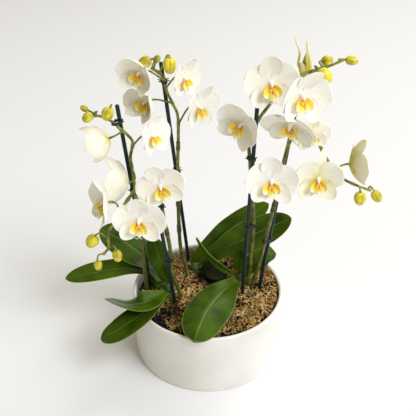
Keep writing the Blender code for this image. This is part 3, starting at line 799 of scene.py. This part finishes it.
def make_clip(spike, level):
    height = TIES[spike][level]
    foot, top = (np.array(end, float) for end in STAKES[spike])
    stake = foot + (top - foot) * (height - foot[2]) / (top[2] - foot[2])
    path = stem_line(spike)
    stem = path[np.argmin(np.abs(path[:, 2] - height) + 0.2 * np.linalg.norm(path - stake, axis=1))]
    along = unit(stem - stake)
    aside = unit(np.cross((0, 0, 1), along))
    parts = [clip_band(stake, stem, along, aside)]
    for side in (-1, 1):
        for share, splay in ((0.25, -0.5), (0.75, 0.5)):
            start = stake + (stem - stake) * share + aside * side * (STAKE_RADIUS + 0.6)
            end = start + aside * side * GRIP_LENGTH + along * splay * 3 + np.array([0, 0, 1.0])
            parts.append(tube([start, (start + end) / 2, end], [0.8, 0.6, 0.75], 8))
    return piece(f"clip_{spike}_{level}", parts, [clip_plastic], f"tie_{spike}_{level}")


for spike, levels in TIES.items():
    for level in levels:
        make_clip(spike, level)
print("clips:", sum(map(len, TIES.values())))

# %% [markdown]
# ## Leaves: thick, waxy straps with a sunken midrib
# The leaves are stiff and fleshy, folded like a trough at the base and nearly flat at the rounded
# tip. Their upper skin is dark green under a thin wax that gives a soft, broad shine; the underside
# is paler. A leaf is a strip along a curved spine. Its width, fold and the way it faces change along
# the spine, and the midrib is a narrow groove in the sheet itself.

# %% Leaf skins


def leaf_skin(name, dark, light, rib, roughness):
    """Leaf colour from the strip's UV map: v runs along the blade, u across it."""
    material, shader = new_material(
        name, Roughness=roughness, IOR=1.42, Specular_IOR_Level=0.24, Subsurface_Weight=0.06, Subsurface_Scale=0.002
    )
    add = partial(node, material)
    place = add("TexCoord").outputs["Object"]
    cloud = add("TexNoise", {"Vector": place, "Scale": 28.0, "Detail": 4.0})
    tone = add("ValToRGB", {"Fac": cloud}, [(0.3, dark), (0.72, light)])
    # parallel veins lie about 1.5 mm apart, so the UV pattern is stretched along the blade
    uv = add("UVMap", uv_map="UVMap")
    stretch = add("Mapping", {"Vector": uv, "Scale": (26.0, 1.3, 1.0)})
    vein = add("TexNoise", {"Vector": stretch, "Scale": 1.0, "Detail": 3.0})
    veined = add("ValToRGB", {"Fac": vein}, [(0.3, "#c9d2c0"), (0.7, "#ffffff")])
    blade = add("Mix", {FACTOR: 0.7, FIRST: tone, SECOND: veined}, data_type="RGBA", blend_type="MULTIPLY")
    # a paler line down the middle and along the very edge, where the skin is thin
    lines = add(
        "ValToRGB", {"Fac": add("SeparateXYZ", {"Vector": uv})},
        [(0.0, "#ffffff"), (0.02, "#000000"), (0.475, "#000000"), (0.5, "#d0d0d0"), (0.525, "#000000"),
         (0.98, "#000000"), (1.0, "#ffffff")],
    )
    ribbed = add("Mix", {FACTOR: lines, FIRST: blade.outputs[MIXED], SECOND: linear(rib)}, data_type="RGBA")
    pore = add("TexNoise", {"Vector": place, "Scale": 700.0, "Detail": 2.0})
    fine = add("Bump", {"Height": pore, "Strength": 0.05, "Distance": 0.0003})
    relief = add("Bump", {"Height": vein, "Normal": fine, "Strength": 0.25, "Distance": 0.0006})
    dust = add(
        "MapRange",
        {"Value": cloud, "From Min": 0.3, "From Max": 0.7, "To Min": roughness - 0.05, "To Max": roughness + 0.1},
    )
    feed(shader, {"Base Color": ribbed.outputs[MIXED], "Normal": relief, "Roughness": dust})
    return material


leaf_upper = leaf_skin("waxed upper skin of a leaf", "#283c01", "#567405", "#86a044", 0.3)
leaf_under = leaf_skin("paler matt underside of a leaf", "#3f5c1a", "#587826", "#849c4c", 0.5)
# painted shade: a near-black skin for the leaf that lies in deep shadow
leaf_in_painted_shade = leaf_skin("upper skin of a leaf darkened with painted shade", "#0d1502", "#1c2905", "#2c3c10", 0.6)
print("leaf skins:", leaf_upper.name, "and", leaf_under.name)

# %% Strips
FINE_ROWS = 181


def strip(spine, width, facing, lift, rows, columns, groove=0.0):
    """A sheet along `spine`. width, lift (degrees) and facing give one value or vector per row."""
    fine = smooth_path(spine, FINE_ROWS)
    # rows lie closer together towards the tip, where the outline turns fastest
    along = np.sin(np.linspace(0, math.pi / 2, rows))
    path = np.stack([np.interp(along, np.linspace(0, 1, FINE_ROWS), fine[:, axis]) for axis in range(3)], axis=1)
    way = unit(np.gradient(path, axis=0))
    across = unit(np.cross(way, facing(along)))
    normal = np.cross(across, way)
    v = np.linspace(-1, 1, columns)
    half, raised = width(along)[:, None], np.radians(lift(along))[:, None]
    side = half * v * np.cos(raised)
    rise = half * (np.sqrt(v**2 + 0.02) - 0.14) * np.sin(raised)
    rise = rise - groove * np.exp(-((v / 0.07) ** 2)) * (1 - along[:, None]) ** 0.5
    return path[:, None] + across[:, None] * side[..., None] + normal[:, None] * rise[..., None], along, v, normal


flat = strip([(0, 0, 0), (9, 0, 0)], lambda s: 1 + s, lambda s: [(0, 0, 1)], lambda s: 0 * s, rows=9, columns=5)[0]
print("a strip's rows, columns and coordinates:", flat.shape)

# %% Where the leaves grow
# Leaves: spine from base to tip, width, facing at the base and at the tip, fold at the base. A sixth
# number keeps a twist for the last part of the blade.
LEAVES = {
    "left_1": ([(-63, 0, 90), (-81, 20, 99), (-109, 26, 102), (-146, 19, 101), (-190, 7, 99)],
        33, (0, -0.1, 1), (0, -0.35, 1), 25),
    "left_2": ([(-62, 4, 97), (-78, 26, 110), (-108, 42, 130), (-146, 52, 148)],
        48, (0.2, -0.4, 1), (0, -0.6, 1), 25),
    "left_3": ([(-53, 4, 96), (-59, 6, 118), (-65, 9, 142), (-72, 9, 166)],
        30, (-0.1, -1, 0.3), (-0.3, -1, 0.3), 18),
    "left_4": ([(-55, -20, 98), (-68, -40, 104), (-84, -53, 107), (-106, -50, 104), (-129, -37, 101)],
        42, (0, -0.3, 1), (0.2, 0.6, 0.8), 20, 1.3),
    "left_5": ([(-55, -20, 88), (-75, -48, 93), (-92, -67, 93), (-112, -77, 84), (-133, -76, 71)],
        38, (0, -0.1, 1), (-0.4, -0.3, 1), 20),
    "right_1": ([(41, 8, 93), (20, -26, 103), (0, -62, 105), (-10, -88, 101), (-16, -108, 96)],
        54, (0, -0.1, 1), (0.16, -0.3, 1), 28),
    "right_2": ([(50, 25, 91), (61, 27, 106), (76, 30, 121), (92, 32, 121)],
        30, (0, -1, 0.6), (0, -0.5, 1), 20),
    "right_3": ([(43, 26, 95), (42, 28, 110), (45, 29, 132)],
        17, (0, -1, 0.3), (-0.4, -1, 0.2), 25),
    "right_4": ([(35, 17, 98), (19, 10, 115), (0, 4, 143), (-14, 0, 170)],
        17, (-0.3, -0.5, 0.6), (-0.8, -0.4, 0.1), 35),
    "back_1": ([(-21, 53, 88), (-9, 58, 107), (16, 67, 124), (51, 76, 149), (84, 84, 169)],
        34, (0.1, -0.8, 0.7), (-0.2, -0.7, 0.8), 28),
    "back_2": ([(-5, 43, 92), (11, 47, 112), (44, 50, 130), (82, 52, 150), (112, 52, 166)],
        44, (0.1, -0.7, 0.7), (-0.2, -0.7, 0.8), 24),
    "back_3": ([(-11, 30, 91), (3, 26, 99), (26, 18, 98)],
        30, (0, -0.5, 1), (0, -0.4, 1), 20),
}
print("leaves:", len(LEAVES))

# %% Leaves
LEAF_THICKNESS = 2.2
# A leaf is a shallow trough near its tip, TROUGH degrees to a side, but one droops at both sides.
TROUGH, ARCHED = 8, {"right_1": -14}
# One leaf in the middle of the back plant lies in deep shadow under the others: its skin is darkened with painted
# shade, and it is duller than the rest.
SHADED_LEAF = "back_3"


def blade_share(along):
    """A leaf's width along its length, as a share of its greatest width."""
    past = np.clip((along - 0.6) / 0.4, 0, 1)
    return (0.34 + 0.66 * ease(along / 0.55)) * np.sqrt(np.maximum(1 - past**2.3, 0.0004))


def make_leaf(name):
    spine, width, face_base, face_tip, fold, *twist = LEAVES[name]
    late = twist[0] if twist else 1
    random = numbers_for("leaf_" + name)
    base, tip = unit(np.array(face_base, float)), unit(np.array(face_tip, float))
    grid, along, v, normal = strip(
        spine,
        lambda s: width / 2 * blade_share(s),
        lambda s: base + (tip - base) * (ease(s) ** late)[:, None],
        lambda s: fold + (ARCHED.get(name, TROUGH) - fold) * ease(s * 1.6),
        rows=90,
        columns=33,
        groove=0.9,
    )
    # the edges wave by a millimetre or so, and the two edges don't wave together
    phase, pace = random.uniform(0, math.tau, 2), random.uniform(5, 8, 2)
    edge = np.where(v < 0, 0, 1)
    wave = np.sin(along[:, None] * pace[edge] + phase[edge]) * np.abs(v) ** 3 * 0.035 * width
    grid = grid + normal[:, None] * wave[..., None]
    thick = LEAF_THICKNESS * np.sqrt(np.maximum(1 - v**4, 0.02)) * np.ones_like(along)[:, None]
    # the leaf in deep shadow takes the skin darkened with painted shade
    skins = [leaf_in_painted_shade if name == SHADED_LEAF else leaf_upper, leaf_under]
    return piece(f"leaf_{name}_blade", [shell(grid, thick, (0, 1))], skins, "leaf_" + name)


for name in LEAVES:
    print(name, "leaf faces:", len(make_leaf(name).data.polygons))

# %% [markdown]
# ## Crowns
# Each plant's leaves clasp one another at a short, pale green crown, and thick silver-green
# roots leave it below. The crown is a swollen tube with the edges of the clasping leaf bases
# showing as steps; the roots arch over the moss and go into it.

# %% Crowns and roots
crown_skin = grained(
    "pale clasping leaf base", (500.0, 3.0), [(0.3, "#22350c"), (0.7, "#4f6424")], 0.3, 0.0005,
    stretch=(1.0, 1.0, 0.15), Roughness=0.45, Subsurface_Weight=0.1, Subsurface_Scale=0.002,
)
root_skin = grained(
    "silvery velamen of an aerial root", (350.0, 4.0), [(0.3, "#6d6a45"), (0.7, "#b4ac86")], 0.4, 0.0004,
    Roughness=0.7,
)
CROWNS = {"left": (-54, -6), "back": (-18, 41), "right": (45, 17)}


def make_crown(name):
    x, y = CROWNS[name]
    random = numbers_for(name)
    # the steps in the radii are the edges of the leaf bases
    rise = np.array([70, 72, 78, 84, 88, 88.6, 92, 94, 94.5, 97, 98.6, 99])
    reach = np.array([6.0, 7.4, 8.3, 8.4, 7.9, 7.1, 6.9, 6.3, 5.5, 4.6, 2.6, 1.0])
    path = np.stack([np.full(12, x), np.full(12, y), rise], axis=1)
    parts = [tube(path, reach, 28)]
    for _ in range(5):
        angle, length = random.uniform(0, math.tau), random.uniform(14, 26)
        way = np.array([math.cos(angle), math.sin(angle)])
        share = np.linspace(0, 1, 14)
        flat = np.array([x, y]) + np.outer(6 + share * length, way)
        flat += np.outer(np.sin(share * 3 + angle) * 2, [-way[1], way[0]])
        height = moss_top(flat[:, 0], flat[:, 1]) + 2.2 * np.sin(share * math.pi) - 5 * share**2 + 0.5
        inside = np.hypot(flat[:, 0], flat[:, 1]) < 88
        root = np.column_stack([flat, height])[inside]
        if len(root) > 5:
            parts.append(tube(root, np.linspace(1.5, 1.2, len(root)), 10, slot=1))
    return piece(name + "_leaf_bases", parts, [crown_skin, root_skin], "crown_" + name)


for name in CROWNS:
    make_crown(name)
print("crowns:", len(CROWNS))

# %% [markdown]
# ## Flowers: five tepals, a lip and a column
# A moth orchid flower has three narrow sepals behind two very broad petals. All five are soft,
# slightly fleshy sheets under a millimetre thick, white with a cream to yellow-green tinge on their
# backs. In front hangs the lip: two upright side lobes and a tongue, yellow and orange where they
# meet, with ochre freckles. The short white column stands over it. Each tepal is a grid that
# bends forward by the flower's cupping, and the skin lets some light through.

# %% Flower skins


def petal_skin(name, face, vein_tint, young_tint, roughness):
    """Tepal colour: v runs from base to tip, u across; shade is how young the flower is."""
    material, shader = new_material(
        name, Roughness=roughness, IOR=1.4, Sheen_Weight=0.15,
        Subsurface_Weight=0.15, Subsurface_Scale=0.002, Subsurface_Radius=(1.0, 0.85, 0.55),
    )
    add = partial(node, material)
    uv = add("UVMap", uv_map="UVMap")
    # veins fan out from the base about 1 mm apart: bands across, wandering a little along
    stretch = add("Mapping", {"Vector": uv, "Scale": (22.0, 1.6, 1.0)})
    vein = add("TexNoise", {"Vector": stretch, "Scale": 1.0, "Detail": 2.0})
    veined = add("ValToRGB", {"Fac": vein}, [(0.38, vein_tint), (0.6, face)])
    # a young flower is greenish where its shade is high, most of all at the base and the tip
    ends = add(
        "ValToRGB", {"Fac": add("SeparateXYZ", {"Vector": uv}).outputs["Y"]},
        [(0.0, "#ffffff"), (0.22, "#8a8a8a"), (0.5, "#4a4a4a"), (0.85, "#707070"), (1.0, "#c8c8c8")],
    )
    own = add("Attribute", attribute_name="shade").outputs["Fac"]
    amount = add("Math", {0: own, 1: ends}, operation="MULTIPLY", use_clamp=True)
    mixed = add("Mix", {FACTOR: amount, FIRST: veined, SECOND: linear(young_tint)}, data_type="RGBA")
    place = add("TexCoord").outputs["Object"]
    cell = add("TexNoise", {"Vector": place, "Scale": 1300.0, "Detail": 1.0})
    sparkle = add("Bump", {"Height": cell, "Strength": 0.06, "Distance": 0.0002})
    relief = add("Bump", {"Height": vein, "Normal": sparkle, "Strength": 0.3, "Distance": 0.0005})
    feed(shader, {"Base Color": mixed.outputs[MIXED], "Normal": relief})
    return material


petal_front = petal_skin("velvety white front of a petal", "#fbfaf3", "#f5f0e0", "#e8e078", 0.55)
petal_back = petal_skin("cream back of a petal", "#fbf6e9", "#f4ecd8", "#d8cd55", 0.6)

lip_skin, lip_shader = new_material(
    "yellow and orange lip skin", Roughness=0.4, IOR=1.42, Subsurface_Weight=0.25, Subsurface_Scale=0.003
)
add = partial(node, lip_skin)
split = add("SeparateXYZ", {"Vector": add("UVMap", uv_map="UVMap")})
own = add("Attribute", attribute_name="shade").outputs["Fac"]
# shade shifts the colours along a lobe: the callus is nearly all orange, the tongue ends white
shift = add("Math", {0: split.outputs["Y"], 1: own}, operation="ADD")
tone = add(
    "ValToRGB", {"Fac": shift},
    [(0.0, "#efb654"), (0.2, "#f3bd3e"), (0.34, "#f5ca2e"), (0.48, "#f7d838"), (0.66, "#f9e468"),
     (0.8, "#fbf1bf"), (0.9, "#fdfaf0")],
)
place = add("TexCoord").outputs["Object"]
# freckles about 0.6 mm across
freckle = add("TexVoronoi", {"Vector": place, "Scale": 900.0})
dots = add("ValToRGB", {"Fac": freckle}, [(0.22, "#ffffff"), (0.34, "#000000")])
near = add("ValToRGB", {"Fac": shift}, [(0.1, "#ffffff"), (0.42, "#000000")])
spots = add("Math", {0: dots, 1: near}, operation="MULTIPLY")
speckled = add("Mix", {FACTOR: spots, FIRST: tone, SECOND: linear("#c98a3a")}, data_type="RGBA")
swirl = add("TexNoise", {"Vector": place, "Scale": 700.0, "Detail": 2.0})
pucker = add("Bump", {"Height": swirl, "Strength": 0.2, "Distance": 0.0003})
feed(lip_shader, {"Base Color": speckled.outputs[MIXED], "Normal": pucker})
FLOWER_SKINS = [petal_front, petal_back, lip_skin]
print("flower skins:", [skin.name for skin in FLOWER_SKINS])

# %% Tepals
# A flower's five tepals: direction round its face, length and half width as shares of half its
# width, where the tepal is widest, and how far it lies in front of the flower's middle, in mm.
SEPALS = ((90, 1.08, 0.40, 0.54, -0.5), (-47, 0.98, 0.36, 0.46, -0.5), (-133, 0.98, 0.36, 0.46, -0.5))
PETALS = ((9, 1.02, 0.63, 0.55, 0.9), (171, 1.02, 0.63, 0.55, 0.9))
TEPAL_THICKNESS = 0.55
LIP_FITS = 52  # the lip's points are those of a flower this wide, in mm
# One flower's upper sepal is rolled narrow and leans back by so many degrees, and its petals rise.
REFLEXED = {"outer_2": 24}


def tepal(random, direction, length, half_width, widest, forward, half, cupping, broad):
    """One tepal in the flower's own axes: x right, y up, z out of its face."""
    along = np.sin(np.linspace(0, math.pi / 2, 30))[:, None]
    v = np.linspace(-1, 1, 21)[None, :]
    rising = ease(along / widest) ** (0.55 if broad else 0.8)
    past = np.clip((along - widest) / (1 - widest), 0, 1)
    outline = (0.2 + 0.8 * rising) * np.sqrt(np.maximum(1 - past**2, 0.0008))
    reach = length * half * along * random.uniform(0.97, 1.03)
    width = half_width * half * outline * random.uniform(0.97, 1.03)
    across = width * v
    far = np.hypot(reach, across)
    lean = math.radians(cupping) * far / half
    squeeze = np.cos(lean)
    phase = random.uniform(0, math.tau, 2)
    wave = np.where(v < 0, np.sin(along * 7 + phase[0]), np.sin(along * 6 + phase[1])) * np.abs(v) ** 3
    ripple = (0.045 if broad else 0.02) * half * wave * along
    # petals bow back at their edges, and sepals are shallow troughs with a crease down the middle
    bow = (-0.09 if broad else 0.10) * width * v**2
    crease = -0.5 * np.exp(-((v / 0.12) ** 2)) * (1 - along)
    sag = (-0.05 if broad else 0.03) * half * along**2
    z = far * np.sin(lean) + forward * (1 - 0.5 * along) + ripple + bow + crease + sag
    turn = math.radians(direction + random.uniform(-3, 3))
    x = (reach * math.cos(turn) + across * math.sin(turn)) * squeeze
    y = (reach * math.sin(turn) - across * math.cos(turn)) * squeeze
    return np.stack([x, y, z], axis=-1)


print("tepals of a flower:", len(SEPALS + PETALS))

# %% Lip and column


def lobe(spine, widths, facing, cup, rows=22, columns=11):
    """A lobe of the lip: a short strip whose edges curl by `cup` degrees."""
    base = np.array(facing, float)
    return strip(
        spine,
        lambda s: np.interp(s, np.linspace(0, 1, len(widths)), widths),
        lambda s: base + 0 * s[:, None],
        lambda s: cup + 0 * s,
        rows,
        columns,
    )[0]


def lip_parts(scale):
    """Side lobes, tongue with its two tendrils, callus and column, in the flower's own axes."""
    parts = []
    for side in (-1, 1):
        wing = lobe(
            [(0.8 * side, -3.4, 2.6), (3.8 * side, -4.6, 5.8), (5.8 * side, -7.4, 7.6), (4.8 * side, -11.0, 8.2)],
            [2.4, 3.9, 4.2, 3.4, 0.8], (-0.3 * side, 0.3, 0.9), 24,
        )
        parts.append({**shell(wing * scale, 0.5, (2, 2)), "shade": 0.18})
        curl = np.array([(0.6 * side, -14.6, 8.0), (1.6 * side, -15.8, 8.8), (2.8 * side, -15.2, 9.8),
                         (3.0 * side, -14.0, 10.0)])
        parts.append({**tube(curl * scale, 0.28, 6, slot=2), "shade": 0.9})
        horn = np.array([(0.9 * side, -4.6, 4.2), (1.4 * side, -5.0, 6.4), (1.8 * side, -6.2, 7.6)]) * scale
        parts.append({**tube(horn, np.array([1.8, 1.9, 1.2]) * scale, 12, slot=2), "shade": -0.7})
    tongue = lobe(
        [(0, -4.8, 3.4), (0, -8, 6.8), (0, -11.6, 8.2), (0, -14.8, 7.8)],
        [2.2, 3.6, 4.4, 3.2, 0.9], (0, 0.6, 0.8), -20,
    )
    parts.append({**shell(tongue * scale, 0.7, (2, 2)), "shade": 0.24})
    column = np.array([(0, 0.6, 0.3), (0, 0.7, 2.4), (0, 0.2, 4.4), (0, -0.8, 5.8), (0, -1.6, 6.3)]) * scale
    parts.append({**tube(column, np.array([2.2, 1.8, 1.6, 1.4, 0.8]) * scale, 18, slot=1), "shade": 0.0})
    cap = np.array([(0, -0.5, 5.9), (0, -1.3, 6.7), (0, -1.8, 6.9)]) * scale
    parts.append({**tube(cap, np.array([1.1, 0.9, 0.5]) * scale, 14, slot=1), "shade": 0.0})
    return parts


print("parts of a lip with its column:", len(lip_parts(1)))

# %% Open flowers


def bloom(name, parts, axes):
    """Moves a flower's parts from its own axes to its place on the plant, and joins them."""
    solid, centre = "flower_" + name, FLOWERS[name][0]
    placed = [{**part, "points": part["points"] @ np.array(axes) + centre} for part in parts]
    return piece(solid + "_bloom", placed, FLOWER_SKINS, solid)


def make_flower(name):
    _, yaw, pitch, roll, width, cupping, _, youth = FLOWERS[name]
    random = numbers_for("flower_" + name)
    half = width / 2
    parts = []
    for shapes, broad in ((SEPALS, False), (PETALS, True)):
        for shape in shapes:
            lean = cupping
            if name in REFLEXED and broad:
                shape = (90 + (shape[0] - 90) * 0.72, *shape[1:])
            elif name in REFLEXED and shape[0] == 90:
                shape, lean = (80, shape[1] * 1.1, shape[2] * 0.42, *shape[3:]), -REFLEXED[name]
            grid = tepal(random, *shape, half, lean, broad)
            shade = youth**2 * (3.0 if broad else 6.0) + (0.0 if broad else 0.15)
            parts.append({**shell(grid, TEPAL_THICKNESS, (0, 1)), "shade": shade})
    parts += lip_parts(width / LIP_FITS)
    return bloom(name, parts, face_axes(yaw, pitch, roll))


HALF_OPEN = "inner_5"
for name in FLOWERS:
    if name != HALF_OPEN:
        make_flower(name)
print("open flowers:", len(FLOWERS) - 1)

# %% [markdown]
# ## The flower that is still opening
# Near the tip of the tallest spike one bud has just split. Its tepals are still long, narrow and
# upright, green-yellow at the base, and their tips are rolled almost to points. It is built from
# the same strips, set round a cup.

# %% Half-open flower


def make_half_open(name):
    _, yaw, pitch, roll, *_, youth = FLOWERS[name]
    parts = []
    # each tepal: the way it leaves the middle, how far, length, width, and how far its tip leans out
    shapes = ((195, 9, 47, 3.4, 17), (335, 8, 43, 5.6, 3), (95, 7, 26, 7.5, 3), (45, 7, 22, 8, 2),
              (250, 9, 22, 7, 15))
    for turn, reach, long, broad, splay in shapes:
        angle = math.radians(turn)
        away = np.array([math.cos(angle), math.sin(angle), 0])
        spine = [away * 1.5 - (0, 0, 1), away * reach + (0, 0, long * 0.25),
                 away * (reach * 0.8) + (0, 0, long * 0.6), away * (splay * 0.7) + (0, 0, long)]
        grid = lobe(spine, [3, broad, broad * 0.95, broad * 0.6, 0.5], -away, 42, 30, 15)
        parts.append({**shell(grid, 0.8, (0, 1)), "shade": 5 * youth})
    return bloom(name, parts, face_axes(yaw, pitch, roll))


make_half_open(HALF_OPEN)
print("opening flower at", FLOWERS[HALF_OPEN][0])
